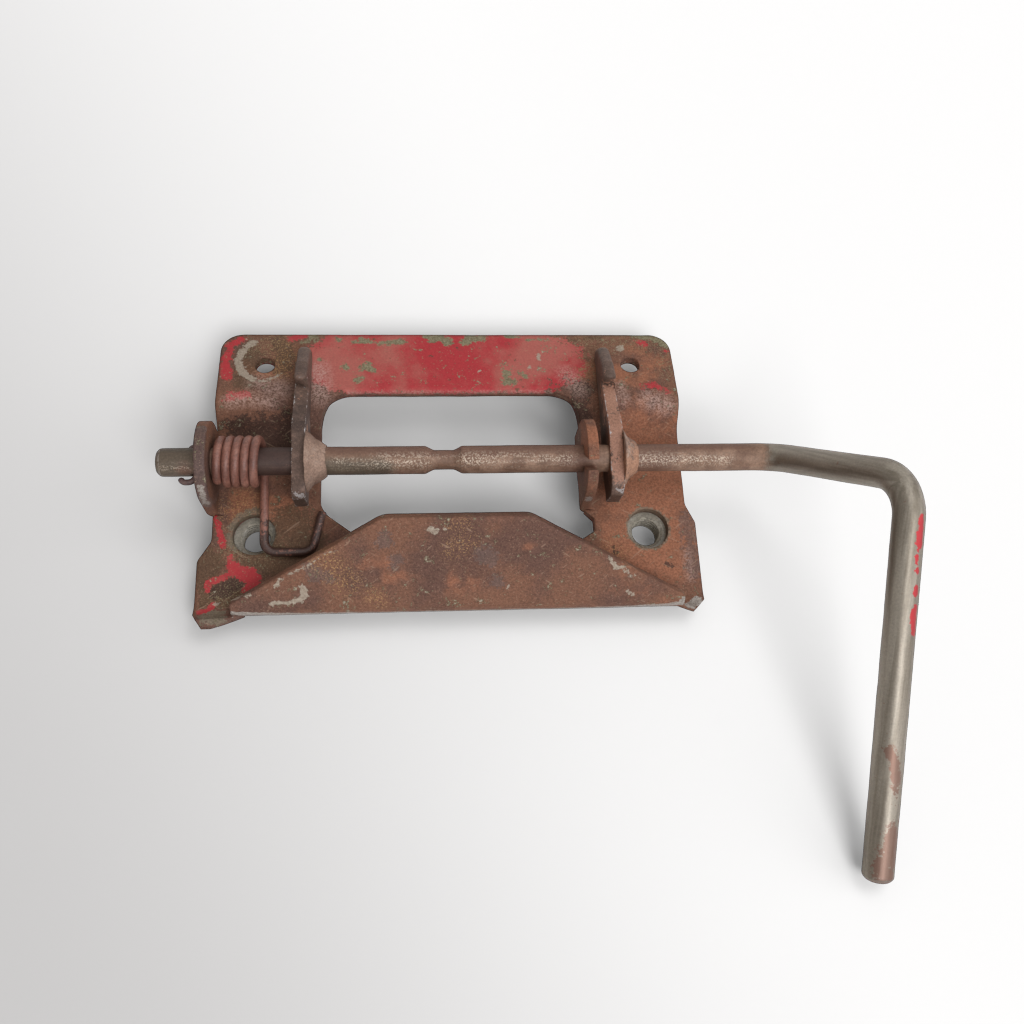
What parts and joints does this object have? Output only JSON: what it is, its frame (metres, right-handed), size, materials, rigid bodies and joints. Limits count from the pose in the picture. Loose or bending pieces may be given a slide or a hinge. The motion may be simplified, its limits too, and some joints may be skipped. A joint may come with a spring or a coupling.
{
  "type": "toggle bolt latch",
  "caption": "Pressed steel mounting plate with a cranked handle shaft that swings barbed hook levers over a window, held down by a coil spring.",
  "frame": {"origin": "midway between the seats of the two weld nuts, on their lower faces", "axes": "+X along the shaft towards the handle, +Y from the guide flange towards the hook noses, +Z out of the plate's visible face"},
  "size_m": [0.2015, 0.1691, 0.0693],
  "materials": {
    "plate_paint": "worn red paint over rust",
    "bare_steel": "worn bare bar with brown rust",
    "lever_steel": "dark worn steel with rust",
    "weld_steel": "rusted weld",
    "spring_steel": "red brown rust",
    "nut_steel": "dull grey"
  },
  "bodies": {
    "bracket": {"mounting_plate": "plate_paint", "left_weld_nut": "nut_steel", "right_weld_nut": "nut_steel", "return_spring": "spring_steel"},
    "shaft": {"crank_shaft": "bare_steel", "left_hook_lever": "lever_steel", "right_hook_lever": "lever_steel", "left_hook_weld": "weld_steel", "right_hook_weld": "weld_steel", "cotter_pin": "spring_steel"}
  },
  "joints": [
    {"name": "shaft_turn", "type": "hinge", "parent": "bracket", "child": "shaft", "pos_m": [0, 0.0178, 0.0235], "axis": [1, 0, 0], "range_deg": [0, 30], "stiffness_Nm_per_rad": 0.6, "springref_deg": -34.38, "deforming": ["return_spring"]}
  ]
}
